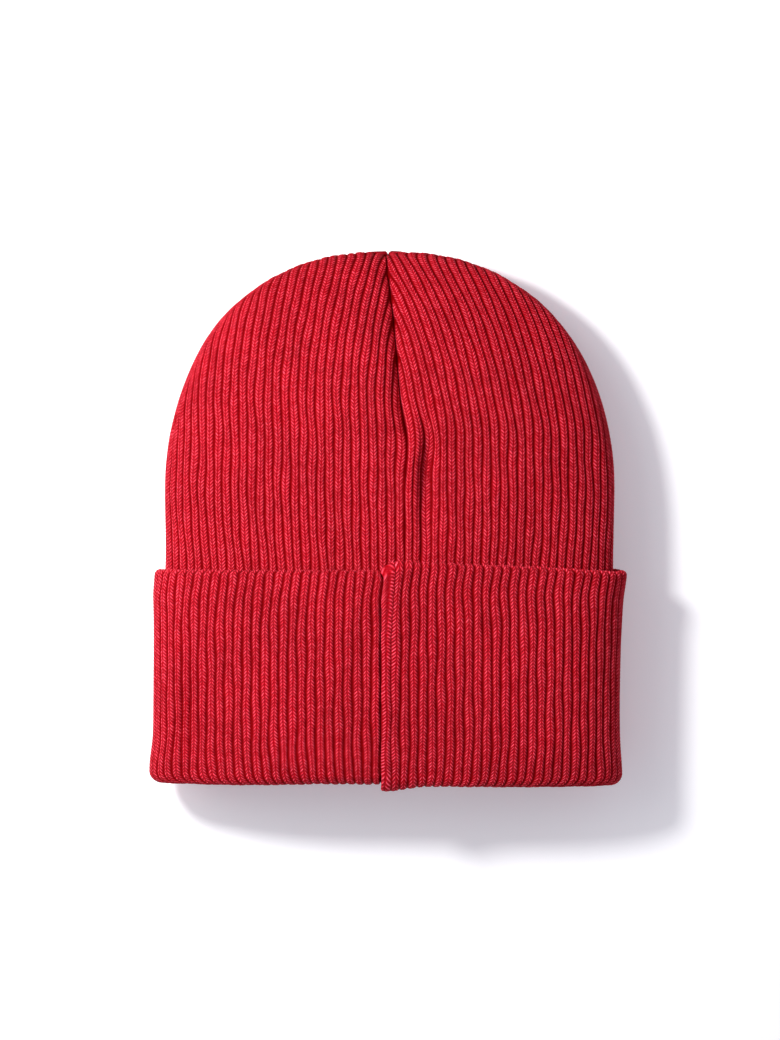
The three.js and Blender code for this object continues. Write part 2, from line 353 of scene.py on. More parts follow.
# %% [markdown]
# ## How this hat lies
# A hat on a table isn't a perfect form. The tube has turned a little, so the seam wanders to one side, and
# the two folded edges lean in and out by a millimetre or two. A cloth simulation would find accidents of
# its own. Here each one is a short list of places along the hat with the amount at each, read as a smooth
# curve, so it lies where it is wanted. They move every layer alike, so the layers stay apart.


# %% A curve from a short list
def smooth_curve(y, places, amounts, soft=5 * mm):
    """The amounts read at y by straight lines between the places, averaged over a few millimetres either
    way."""
    offsets = np.linspace(-2, 2, 9) * soft
    weights = np.exp(-((offsets / soft) ** 2) / 2)
    places, amounts = np.array(places) * mm, np.array(amounts) * mm
    order = np.argsort(places)
    read = np.interp(np.asarray(y)[..., None] + offsets, places[order], amounts[order])
    return (read * weights).sum(axis=-1) / weights.sum()


# Places along the hat, and the shifts to the right at them, in millimetres
SEAM_PLACES = (118, 92, 70, 51, 40, 23, -19)
SEAM_SHIFT = (-0.9, 2.4, 4.2, 5.6, 7.2, 7.0, 7.4)
LEFT_PLACES = (118, 98, 80, 60, 8, -21, -30, -37, -59, -100, -111, -120)
LEFT_SHIFT = (-2.6, -2.2, -1.4, -0.3, 0.4, 0.8, 0.2, 0.5, 0.6, 0.5, -1.2, -0.8)
RIGHT_PLACES = (118, 98, 80, 60, 20, 8, -21, -30, -37, -59, -82, -100, -111, -120)
RIGHT_SHIFT = (3.2, 2.4, 2.2, 1.6, 1.4, 1.2, 0.5, 0.4, -0.4, -1.2, -1.6, -1.6, -0.8, -0.6)
print("the seam turns aside by", max(SEAM_SHIFT), "mm")

# %% Put the hat down
NARROWEST = 12 * mm  # the least half width that a side is measured against, near the tip
DRAWN_ABOVE_CUFF, DRAWN_AT_TURN = 0.02, 0.026  # shares of x by which the ribs draw together
CORNER_RISE = 1.3 * mm  # how far the left corner of the open end lies higher
SWELL = 0.45 * mm  # how far the cloth swells and sinks between its edges


def laid_down(points):
    """The points after the hat was put down. Each folded edge moves by its own shift, which fades as the
    cube of the way from the edge to the middle. Between the edges the ribs draw together above the cuff and
    at the turn, by a share of x, and the back swells and sinks as a sum of slow sines."""
    x, y, z = np.moveaxis(points, -1, 0)
    half = BODY_HALF * closing((y - (TIP_Y - CROWN_LENGTH)) / CROWN_LENGTH, PLAN_ALONG, PLAN_ACROSS)
    side = np.clip(x / np.maximum(half, NARROWEST), -1.05, 1.05)
    right, left = smooth_curve(y, RIGHT_PLACES, RIGHT_SHIFT), smooth_curve(y, LEFT_PLACES, LEFT_SHIFT)
    shift = np.where(side > 0, right, left) * np.abs(side) ** 3
    above_cuff = DRAWN_ABOVE_CUFF * fade(y, -5 * mm, -30 * mm) * fade(y, -50 * mm, -30 * mm)
    at_turn = DRAWN_AT_TURN * fade(y, -98 * mm, -118 * mm)
    shift -= x * (above_cuff + at_turn) * np.clip(1 - side**4, 0, 1)
    corner = CORNER_RISE * fade(y, -95 * mm, -115 * mm) * fade(side, -0.45, -0.95)
    long_waves = np.sin(x / (31 * mm) + 1.3) * np.sin(y / (37 * mm) + 0.4)
    swell = long_waves + 0.6 * np.sin(x / (17 * mm) - y / (23 * mm))
    return np.stack([x + shift, y + corner, z + SWELL * swell * smooth(z / THICKNESS)], axis=-1)


# %% [markdown]
# ## The body
# The body's outer shell is one tube of knit, cut into four gores from the foot of the darts to the tip. The
# back and front darts take only a few ribs from each gore, and the side darts take the rest, so on the back
# the ribs lean towards the middle as they climb and run out over the rounded edge. A pattern laid on a
# finished surface would cut across the ribs. So the grid is laid in the knit: rows go up the hat and
# columns share out each gore's width. A point's wale is its walking distance from the dart plus what the
# dart has taken so far, and its course is the length of its rib from the hem.

# %% Rows up the body
QUARTERS = ("back_right", "front_right", "front_left", "back_left")
FACE_COLUMNS = 8  # per rib, on the body and the cuff
COARSE = 8  # the back of a slab keeps every eighth row and column
ROWS_PER_COURSE = 3
PANEL_APART = 40  # ribs between the panels' places in the slow waves, so that no two panels are alike


def rows_between(start, end, depth, step, multiple):
    """Places along the hat an even step apart, measured along the cloth and averaged over eight ways up it.
    The number of steps is a multiple of the given one."""
    y = np.linspace(start, end, 6001)
    turns = (np.arange(8) + 0.5) / 8 * 2 * np.pi
    steps = np.linalg.norm(np.diff(hat(y[:, None], turns[None, :], depth), axis=0), axis=-1).mean(axis=1)
    walked = np.concatenate([[0], np.cumsum(steps)])
    count = int(np.ceil(walked[-1] / step / multiple) * multiple)
    return np.interp(np.linspace(0, walked[-1], count + 1), walked, y)


def quarter_columns(k, columns):
    """The columns of one quarter of a ring. Neighbouring quarters share the column between them."""
    return slice(k * columns, (k + 1) * columns + 1)


columns = RIBS_PER_QUARTER * FACE_COLUMNS
print("columns round the body", 4 * columns)

# %% The darts pull the knit in
VALLEYS = (7.4, 1.2, 4.0, 1.2)  # mm that the back, right, front and left darts pull in
VALLEY_PLACES = (120, 117, 108, 85, 60, 48, 38, 28, 15, -10, -25)  # mm along the hat
VALLEY_SHARE = (0.1, 0.3, 0.75, 0.95, 1, 0.95, 0.62, 0.25, 0.14, 0.1, 0)
DIP_WIDTH, CREASE_WIDTH = 7.5 * mm, 2.2 * mm
DIP_PART = 0.6  # the wide dip's part of the valley


def valley(y, gap, pull):
    """How far a dart pulls in the knit at a distance gap from its seam: a wide dip and a narrow crease,
    each exp(−(gap/width)^power), times the strength read along the dart."""
    share = smooth_curve(y, VALLEY_PLACES, VALLEY_SHARE, soft=3 * mm) / mm
    dip = np.exp(-((gap / DIP_WIDTH) ** 1.25))
    crease = np.exp(-((gap / CREASE_WIDTH) ** 1.3))
    return pull * mm * share * (DIP_PART * dip + (1 - DIP_PART) * crease)


print("back valley", round(float(valley(60 * mm, 0.0, VALLEYS[0])) / mm, 2), "mm deep at its deepest")

# %% What the darts take
TAKEN = 18.5 * mm  # width that the back dart takes from each gore by the tip
TAKEN_FROM = 35 * mm


def gore_shifts(y, girth):
    """For each row, the stretch that gives the uncut tube its full count of ribs, and for each gore what to
    add to the walking distance across it. The back and front darts take TAKEN·(share of the way up)²."""
    below = np.interp(np.minimum(y, DART_Y), y, girth)
    stretch = base_girth / below
    taken = TAKEN * np.clip((y - TAKEN_FROM) / (TIP_Y - TAKEN_FROM), 0, 1) ** 2
    rest = QUARTER - girth / 4 * stretch - taken
    return stretch[:, None], [taken[:, None], rest[:, None], taken[:, None], rest[:, None]]


print("ribs that the back dart takes from each side", round(TAKEN / PITCH, 1))

# %% [markdown]
# ## The pucker at the foot of the back dart
# Where a dart begins, the spare knit has nowhere to go and makes a small fold: beside the seam two ribs
# stand up, the next ones sink, and all of them bow to the right. The fold could be sculpted with a brush. A
# table of soft bumps does the same, can be read, and moves only what lies on the back.

# %% Soft bumps
# Each bump is an amount, a place across and along, and a size across and along, in millimetres
RIDGE = ((2.2, 10.4, 22, 3.3, 27),)
RECESS = ((3.8, 16.6, 24, 3.6, 20), (1.6, 17.0, -2, 3.4, 20))
BOW = ((1.7, 13, 33, 8, 11),)


def bumps(x, y, table):
    """The sum of the table's bumps: amount·exp(−(distance across/size)² − (distance along/size)²)."""
    return sum(
        amount * np.exp(-(((x - x0 * mm) / (wide * mm)) ** 2) - (((y - y0 * mm) / (long * mm)) ** 2))
        for amount, x0, y0, wide, long in table
    )


def pucker(points):
    """The points with the fold at the foot of the back dart. It fades out below the middle of the hat."""
    x, y, z = np.moveaxis(points, -1, 0)
    on_back = fade(z, THICKNESS / 2, THICKNESS / 2 + 10 * mm) * mm
    rise = bumps(x, y, RIDGE) - bumps(x, y, RECESS)
    return np.stack([x + bumps(x, y, BOW) * on_back, y, z + rise * on_back], axis=-1)


print("highest rib of the pucker", RIDGE[0][0], "mm, deepest", RECESS[0][0], "mm")


# %% A ring of four gores
def courses_of(y, depth, shift, quarter, stretch, added, k, u):
    """Stitches counted along the ribs. A rib keeps its place u in the uncut tube, so its line is followed
    up the hat and its length summed. Then each grid point reads the length of the rib that it lies on."""
    us = np.linspace(-0.5, 0.5, 81)[None, :] * QUARTER
    walked = np.clip((us + QUARTER / 2 - added) / stretch, 0, quarter)
    turns, _ = turns_after(y, np.full(len(y), depth), lambda whole: shift + quarter * k + walked)
    steps = np.linalg.norm(np.diff(hat(y[:, None], turns, depth), axis=0), axis=-1)
    length = np.concatenate([np.zeros((1, us.size)), np.cumsum(steps, axis=0)])
    return read_rows(u, us, length / COURSE)


def gore_grid(y, depth, columns):
    """A whole ring of four gores. Gives the points, the normals before the darts pulled in, the walking
    distance from the back seam, the distance from the nearest dart, and for each quarter its wales and
    courses."""
    share = np.arange(4 * columns + 1) / columns
    shift = smooth_curve(y, SEAM_PLACES, SEAM_SHIFT)[:, None]
    turns, girth = turns_after(y, np.full(len(y), depth), lambda whole: shift + whole / 4 * share[None, :])
    points = laid_down(hat(y[:, None], turns, depth))
    girth[y >= TIP_Y - depth - 1e-9] = 0
    quarter = girth[:, None] / 4
    from_seam = np.abs(share - np.round(share)) * quarter
    pull = np.array(VALLEYS + VALLEYS[:1])[np.round(share).astype(int)]
    normal = normals_of(points, pole=True)
    points = pucker(points - normal * valley(y[:, None], from_seam, pull)[..., None])
    stretch, shifts = gore_shifts(y, girth)
    wales, courses = [], []
    for k in range(4):
        u = share[: columns + 1] * quarter * stretch + shifts[k] - QUARTER / 2
        course = courses_of(y, depth, shift, quarter, stretch, shifts[k], k, u)
        wale, course = uneven(u / PITCH + PANEL_APART * k, course)
        wales.append(wale)
        courses.append(course)
    return points, normal, share * quarter, from_seam, wales, courses


# %% The body's grid
UNDER_CUFF = 8 * mm  # how far below the hem the fine rows begin
hidden_rows = np.linspace(TURN_Y + CLEAR, HEM_Y - UNDER_CUFF, COARSE + 1)
fine_rows = rows_between(HEM_Y - UNDER_CUFF, TIP_Y, 0.0, COURSE / ROWS_PER_COURSE, COARSE)
body_y = np.concatenate([hidden_rows[:-1], fine_rows])
body, body_out, body_walk, from_seam, wales, courses = gore_grid(body_y, 0.0, columns)
body_normal = normals_of(body, pole=True)
print("body grid", body.shape[:2])

# %% Build the body's four panels
SEAM_EDGE = 0.5 * mm  # this close to a dart the ribs sink to the depth of a groove
SEAM_LINE = 0.4 * mm  # this close to it the knit's map is moved into a groove, which paints the seam's slit with the groove's painted shade
past_foot = fade(body_y, DART_Y, DART_Y + 6 * mm)[:, None]
for k, quarter_name in enumerate(QUARTERS):
    part = quarter_columns(k, columns)
    near_seam = smooth(from_seam[:, part] / SEAM_EDGE)[..., None]
    below = relief(wales[k], courses[k])[..., None]
    # Along the dart's seam only the map moves into a groove, not the mesh, so the slit gets the groove
    # colour's painted shade
    in_dart = (1 - smooth(from_seam[:, part] / SEAM_LINE)) * past_foot
    wales[k] += (np.floor(wales[k]) + 0.5 - wales[k]) * in_dart
    in_seam = below * near_seam + RIB_DEPTH * (1 - near_seam)
    dent = np.where(body_y[:, None, None] > DART_Y, in_seam, below)
    dent[-1] = RIB_DEPTH
    face = body[:, part] - body_normal[:, part] * dent
    back = body[:, part] - body_normal[:, part] * KNIT
    panel = knit_slab("body_panel_" + quarter_name, face, back, wales[k], courses[k], COARSE, pole=True)
    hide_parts("outer_shell")

# %% [markdown]
# ## The cuff
# The cuff is the same tube turned up, so its ribs run on from the lining: out of the mouth, round under the
# open end, up the face, over the fold at the hem and down behind. Bending a finished tube would squash its
# ribs in the folds, so that line is drawn once as a path of places and depths, and the loop of the hat is
# carried along it. At the back seam the right side laps over the left, and its edge rolls into a lip. Both
# folded edges rise and dip by up to three millimetres, and near the left corner of the open end the grooves
# are creased deeper.

# %% The cuff's path
CUFF_SEAM_SHIFT = -3.1 * mm


def cuff_path(step):
    """Places and depths of the cuff's face from the mouth to behind the hem, and the length up to each: a
    half circle round the turn, a straight face, and a half circle over the hem."""
    small = np.linspace(0, np.pi, 400)
    turn_middle, hem_middle = (LINING_IN - CUFF_OUT) / 2, (CUFF_INNER_IN - CUFF_OUT) / 2
    y = [TURN_Y - TURN_RADIUS * np.sin(small), HEM_FOLD_Y + HEM_RADIUS * np.sin(small)]
    depth = [turn_middle + TURN_RADIUS * np.cos(small), hem_middle - HEM_RADIUS * np.cos(small)]
    y, depth = np.concatenate(y), np.concatenate(depth)
    walked = np.concatenate([[0], np.cumsum(np.hypot(np.diff(y), np.diff(depth)))])
    count = int(np.ceil(walked[-1] / step / COARSE) * COARSE)
    even = np.linspace(0, walked[-1], count + 1)
    return np.interp(even, walked, y), np.interp(even, walked, depth), even


path_y, path_depth, path_length = cuff_path(COURSE / ROWS_PER_COURSE)
print("length of the cuff's path", round(path_length[-1], 4))


# %% The cuff's uneven edges
def hem_rise(seam_gap):
    """How much higher the hem lies at a distance to the right of the back seam, in metres: it dips at the
    very corner, rises over the lap, and comes down towards the right edge."""
    places = np.array((-60, -2, 0, 1.5, 3.5, 7, 12, 30, 70, 104, 130)) * mm
    amounts = np.array((0, 0, -2.2, -0.6, 1.1, 2.4, 3.0, 3.1, 1.4, -0.8, 0)) * mm
    return np.interp(seam_gap, places, amounts)


def turn_rise(seam_gap):
    """How much higher the open end lies at a distance to the right of the back seam, in metres: most beside
    the seam, and less towards both corners."""
    places = np.array((-104, -75, -50, -28, -8, -0.5, 0, 4, 8, 20, 35, 60, 100)) * mm
    amounts = np.array((0, 0.4, 1.4, 2.0, 1.8, 1.7, 2.2, 1.2, 1.3, 1.3, 0.8, 0.5, 0.3)) * mm
    return np.interp(seam_gap, places, amounts)


HEM_ASIDE = 1.3 * mm  # how far the hem leans to the right


def cuff_ring(y, depth, columns):
    """The ring of the cuff's four quarters along its path, with the walking distance from the back seam,
    and the same distance counted backwards on the last quarter, which lies to the left of the seam."""
    share = np.arange(4 * columns + 1) / columns
    turns, girth = turns_after(y, depth, lambda whole: CUFF_SEAM_SHIFT + whole / 4 * share[None, :])
    walk = girth[:, None] / 4 * share[None, :]
    gap = np.where(share > 3, walk - girth[:, None], walk)
    upper = fade(y, HEM_Y - 45 * mm, HEM_Y)[:, None]
    lower = fade(y, TURN_Y + 22 * mm, TURN_Y)[:, None]
    at_hem = fade(y, HEM_Y - 14 * mm, HEM_Y)[:, None]
    points = hat(y[:, None], turns, depth[:, None])
    points[..., 1] += hem_rise(gap) * upper + turn_rise(gap) * lower
    points[..., 0] += HEM_ASIDE * at_hem * smooth(points[..., 2] / THICKNESS)
    return laid_down(points), walk, gap


cuff, cuff_walk, cuff_gap = cuff_ring(path_y, path_depth, columns)
cuff_normal = normals_of(cuff)
print("cuff grid", cuff.shape[:2])

# %% The lap and the turn
LAP, LAP_WIDTH = 3.8 * mm, 15 * mm  # the right side stands up over the left
UNDERLAP, UNDERLAP_WIDTH = -0.3 * mm, 5 * mm
LAP_ROUND = 1.8 * mm
LIP, LIP_WIDTH = 0.55, 6.2 * mm  # how much the lip's grooves are smoothed away, and how wide it is
FIRST_RIB, FIRST_RIB_WIDTH = 1.0 * mm, 7 * mm  # how much wider the first ribs beside the seam are
TURN_FLAT = 1.5 * mm  # how much the weight of the cloth flattens the turn
TURN_CALM = 0.35  # the share by which its ribs are stretched flat
CREASED = ((1.6, -91, -90, 6, 19),)  # a bump whose amount is the share by which grooves get deeper

over = LAP * np.exp(-((np.abs(cuff_gap) / LAP_WIDTH) ** 1.5))
lap = np.where(cuff_gap >= 0, over, UNDERLAP * np.exp(cuff_gap / UNDERLAP_WIDTH))
path_end = path_length[-1]
on_face = fade(path_length, 6 * mm, 12 * mm) * fade(path_length, path_end - 2 * mm, path_end - 6 * mm)
near_turn = np.clip((TURN_Y + 8 * mm - path_y) / (8 * mm), 0, 1)[:, None]
lap_share = 0.35 + 0.65 * fade(path_y, -75 * mm, -30 * mm)[:, None]  # less towards the open end
print("highest point of the lap", round(float(lap.max()) / mm, 2), "mm")


# %% Ribs of a quarter, and the lip at its start
def plain_ribs(length, columns):
    """A quarter's wales and courses on a grid whose rows lie at these lengths: even ribs, counted from the
    quarter's middle, and stitches counted along."""
    wale = (np.arange(columns + 1) / columns - 0.5) * RIBS_PER_QUARTER
    return np.broadcast_arrays(wale[None, :], length[:, None] / COURSE)


def widened(wale, gap):
    """The wale where the first ribs beside the seam are wider: less by width·g·exp(1 − g), over the pitch,
    with g the distance from the seam in widths."""
    g = gap / FIRST_RIB_WIDTH
    return wale - FIRST_RIB * lap_share * g * np.exp(1 - g) / (gap[0, -1] / RIBS_PER_QUARTER)


def lipped(wale, gap):
    """The wale pulled towards its rib's crest by LIP·exp(−(gap/width)^6), which smooths the grooves
    away."""
    lip = np.exp(-((np.abs(gap) / LIP_WIDTH) ** 6)) * lap_share
    return np.round(wale) + (wale - np.round(wale)) * (1 - LIP * lip)


# %% Build the cuff's four panels
for k, quarter_name in enumerate(QUARTERS):
    part = quarter_columns(k, columns)
    starts_at_seam, ends_at_seam = k == 0, k == 3
    gap, raised = cuff_gap[:, part], lap[:, part].copy()
    wale, course = plain_ribs(-path_length, columns)
    wale, course = uneven((widened(wale, gap) if starts_at_seam else wale) + PANEL_APART * k, course)
    if starts_at_seam:
        wale = lipped(wale, gap)
        raised -= LAP_ROUND * (1 - np.sqrt(1 - np.clip(1 - gap / LAP_ROUND, 0, 1) ** 2))
    if ends_at_seam:
        raised[:, -1] = UNDERLAP
    base = cuff[:, part] + cuff_normal[:, part] * (raised * on_face[:, None])[..., None]
    base[..., 2] -= TURN_FLAT * near_turn**2 * np.clip((base[..., 2] / THICKNESS - 0.5) * 4, -1, 1)
    creased = bumps(base[..., 0], base[..., 1], CREASED) * ends_at_seam
    dent = (relief(wale, course) * (1 - TURN_CALM * near_turn + creased))[..., None]
    face = base - cuff_normal[:, part] * dent
    back = base - cuff_normal[:, part] * KNIT
    panel = knit_slab("cuff_panel_" + quarter_name, face, back, wale, course, COARSE)
    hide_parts("cuff_outer_layer")

# %% [markdown]
# ## The lining and the inner cuff
# The lining is the other half of the tube. It shows only through the open end, where its right side faces
# the head. A copy of the body turned inside out would cross it at the darts, so the lining is worked out at
# its own depth, with a coarser grid and a relief that points inwards. The cuff's inner layer lies hidden
# between the cuff's face and the body, and closes the wall behind the hem.

# %% Build the lining's four panels
INSIDE_COLUMNS = 4
INSIDE_COARSE = 4
columns = RIBS_PER_QUARTER * INSIDE_COLUMNS
lining_y = rows_between(TURN_Y + CLEAR, TIP_Y - LINING_IN, LINING_IN, COURSE, INSIDE_COARSE)
lining, lining_out, lining_walk, _, wales, courses = gore_grid(lining_y, LINING_IN, columns)
lining_normal = normals_of(lining, pole=True)
for k, quarter_name in enumerate(QUARTERS):
    part = quarter_columns(k, columns)
    dent = relief(wales[k], courses[k])[..., None]
    dent[-1] = RIB_DEPTH
    face = lining[:, part] + lining_normal[:, part] * dent
    back = lining[:, part] + lining_normal[:, part] * KNIT
    name = "lining_panel_" + quarter_name
    panel = knit_slab(name, face, back, wales[k], courses[k], INSIDE_COARSE, pole=True, inside=True)
    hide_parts("lining_shell")

# %% The cuff's inner layer
inner_y = np.linspace(HEM_FOLD_Y - CLEAR, TURN_Y + 1.0 * mm, 57)[::-1]
inner, _, _ = cuff_ring(inner_y, np.full(len(inner_y), CUFF_INNER_OUT), columns)
inner_normal = normals_of(inner)
wale, course = plain_ribs(inner_y, columns)
for k, quarter_name in enumerate(QUARTERS):
    part = quarter_columns(k, columns)
    face = inner[:, part] - inner_normal[:, part] * relief(wale, course)[..., None]
    back = inner[:, part] - inner_normal[:, part] * KNIT
    panel = knit_slab("cuff_inner_" + quarter_name, face, back, wale, course, INSIDE_COARSE)
    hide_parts("cuff_inner_layer")


# %% [markdown]
# ## Seams
# Each dart and each back seam is overlocked: a machine wraps thread round the two cut edges while it joins
# them, which leaves a flat band of crossing loops. The bands lie between the layers, so one sheet with the
# loops as relief is enough. They ride on the same grid as the knit that they join, so they sink with the
# darts and stay inside the walls.


# %% Read a ring at other distances
def read_ring(values, walk, wanted):
    """Values of a ring's grid at wanted walking distances from its back seam, by straight lines between
    columns, with a few columns repeated at both ends so that a band can cross the seam."""
    whole = walk[:, -1:]
    walk = np.concatenate([walk[:, -33:-1] - whole, walk, walk[:, 1:33] + whole], axis=1)
    values = np.concatenate([values[:, -33:-1], values, values[:, 1:33]], axis=1)
    return np.stack([read_rows(wanted, walk, values[..., i]) for i in range(3)], axis=-1)


# %% An overlocked band
SEAM_WIDTH = 5 * mm
LOOP = 2.4 * mm  # length of one overlock loop
LOOP_HEIGHT = 0.25 * mm
BAND_ROW = 1.6 * mm  # length of one coarse step along a band
SLACK = 0.2 * mm  # how far past the CAD seam's box a band may reach


def seam_band(name, node, ring, quarter, heights):
    """A band over the seam at the start of a quarter, between two heights above the grid. Its face is
    raised by |cos| waves that lean from both edges to the middle, as crossing loops of thread."""
    grid, normal, walk, y = ring
    inner, outer = heights
    low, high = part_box(node)
    girth = walk[:, -1]
    reached = (y >= low.y - SLACK) & (y <= high.y + SLACK) & (girth > 8 * SEAM_WIDTH)
    rows = np.flatnonzero(reached)
    start, end = y[rows[0]], y[rows[-1]]
    wanted_y = np.linspace(start, end, INSIDE_COARSE * max(4, round((end - start) / BAND_ROW)) + 1)
    across = np.linspace(-0.5, 0.5, 9)[None, :]
    wanted = girth[rows][:, None] * quarter / 4 + across * SEAM_WIDTH
    spot = np.interp(wanted_y, y[rows], np.arange(len(rows)))
    first = np.clip(np.floor(spot).astype(int), 0, len(rows) - 2)
    part = (spot - first)[:, None, None]
    read = [read_ring(values[rows], walk[rows], wanted) for values in (grid, normal)]
    points, out = (values[first] * (1 - part) + values[first + 1] * part for values in read)
    along = np.broadcast_to(wanted_y[:, None] / LOOP, points.shape[:2])
    side = np.broadcast_to(across, along.shape)
    loops = np.abs(np.cos(np.pi * (along + 1.2 * np.abs(side))))
    face = points + out * (outer - LOOP_HEIGHT * (1 - loops))[..., None]
    band = knit_slab(name, face, points + out * inner, side, along, INSIDE_COARSE)
    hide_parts(node)


# %% Build the eleven bands
UNDER_KNIT = (-2.8 * mm, -2.2 * mm)
OVER_KNIT = (2.2 * mm, 2.8 * mm)
flat = np.flatnonzero(np.abs(path_depth + CUFF_OUT) < 0.01 * mm)
body_ring = (body, body_out, body_walk, body_y)
lining_ring = (lining, lining_out, lining_walk, lining_y)
face_ring = (cuff[flat], cuff_normal[flat], cuff_walk[flat], path_y[flat])
for quarter, side_name in enumerate(("back", "right", "front", "left")):
    seam_band("dart_band_" + side_name, "crown_dart_seam_" + side_name, body_ring, quarter, UNDER_KNIT)
    lining_node = "lining_dart_seam_" + side_name
    seam_band("lining_dart_band_" + side_name, lining_node, lining_ring, quarter, OVER_KNIT)
seam_band("back_band", "back_seam", body_ring, 0, UNDER_KNIT)
seam_band("lining_back_band", "lining_back_seam", lining_ring, 0, OVER_KNIT)
seam_band("cuff_back_band", "cuff_back_seam", face_ring, 0, UNDER_KNIT)

# %% [markdown]
# ## The label
# A strip of satin ribbon is folded in half and sewn inside the back of the cuff, where it lies against the
# lining. Two flat boxes would do at a distance, but the fold shows what it is. So it is drawn as a path of
# places and depths, as the cuff is, and carried across the hat. The two halves stand a little apart at the
# fold, because satin is springy.

# %% The ribbon's path
LABEL_WIDTH = 34 * mm
LABEL_LENGTH = 20 * mm
SATIN = 0.18 * mm
HALVES_APART = 0.06 * mm  # at the stitching
LOOSE = 0.9 * mm  # how far the halves stand apart at the fold


def label_path(count):
    """Places and depths of the ribbon's middle, from its cut end at the stitching, down to the fold and
    back up. The halves part as the square of the way to the fold, and a half circle joins them."""
    way = np.linspace(0, 1, count)
    near = LINING_IN + CLEAR + SATIN / 2
    radius = LOOSE / 2
    down_y = label_high.y - way * (LABEL_LENGTH - radius)
    arc = np.linspace(0, np.pi, 17)[1:-1]
    y = np.concatenate([down_y, down_y[-1] - radius * np.sin(arc), down_y[::-1]])
    apart = SATIN + HALVES_APART + (LOOSE - SATIN - HALVES_APART) * way**2
    depth = np.concatenate([near + 0 * way, near + radius - radius * np.cos(arc), (near + apart)[::-1]])
    return y, depth


label_y, label_depth = label_path(24)
walked = np.concatenate([[0], np.cumsum(np.hypot(np.diff(label_y), np.diff(label_depth)))])
even = np.linspace(0, walked[-1], 81)
label_y, label_depth = np.interp(even, walked, label_y), np.interp(even, walked, label_depth)
print("label's flat length", round(walked[-1], 4))

# %% Build the ribbon
across = np.linspace(-0.5, 0.5, 33)[None, :] * LABEL_WIDTH
turns, _ = turns_after(label_y, label_depth, lambda whole: across + 0 * whole)
ribbon = laid_down(hat(label_y[:, None], turns, label_depth[:, None]))
out = np.cross(np.gradient(ribbon, axis=0), np.gradient(ribbon, axis=1))
out *= SATIN / 2 / np.linalg.norm(out, axis=-1, keepdims=True)
label_map = np.broadcast_arrays(across / mm, even[:, None] / mm)
label = knit_slab("satin_label", ribbon + out, ribbon - out, *label_map, INSIDE_COARSE, inside=True)
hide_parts("care_label")


# %% A row of stitches
def stitch_row(name, centres, length, radius, lift):
    """One mesh of short rounded stitches. Each is a tube along x whose middle line rises as a cosine and
    whose radius closes at both ends as a square root."""
    along = np.linspace(-1, 1, 13)
    ring = np.arange(8) / 8 * 2 * np.pi
    thin = radius * np.sqrt(np.clip(1 - np.abs(along) ** 4, 0, 1))
    x = along[:, None] * length / 2 + 0 * ring
    y = thin[:, None] * np.cos(ring)
    z = thin[:, None] * np.sin(ring) - lift * np.cos(along * np.pi / 2)[:, None]
    points = centres[:, None, None, :] + np.stack([x, y, z], axis=-1)
    index = np.arange(points[..., 0].size).reshape(points.shape[:3])
    index[:, 0], index[:, -1] = index[:, :1, 0], index[:, -1:, 0]
    index = np.concatenate([index, index[:, :, :1]], axis=2)
    quads = np.concatenate([grid_quads(i)[:, ::-1] for i in index[:, 1:-1]])
    caps = [[grid_quads(i[:2])[:, [0, 3, 2]], grid_quads(i[-2:])[:, [0, 2, 1]]] for i in index]
    points = points.reshape(-1, 3)
    return mesh_piece(name, points, points[:, :2] / LOOP, quads, np.concatenate(sum(caps, [])))


# %% Sew the label on
STITCHES = 11
stitch_x = (np.arange(STITCHES) - STITCHES // 2) * 2.9 * mm
stitch_y = np.full(STITCHES, label_high.y - 1.6 * mm)
stitch_depth = np.full(STITCHES, LINING_IN + CLEAR + 2 * SATIN + 0.2 * mm)
turns, _ = turns_after(stitch_y, stitch_depth, lambda whole: stitch_x[:, None] + 0 * whole)
centres = laid_down(hat(stitch_y[:, None], turns, stitch_depth[:, None]))[:, 0]
label_stitches = stitch_row("label_stitches", centres, length=2.2 * mm, radius=0.24 * mm, lift=0.12 * mm)
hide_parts("care_label_stitching")
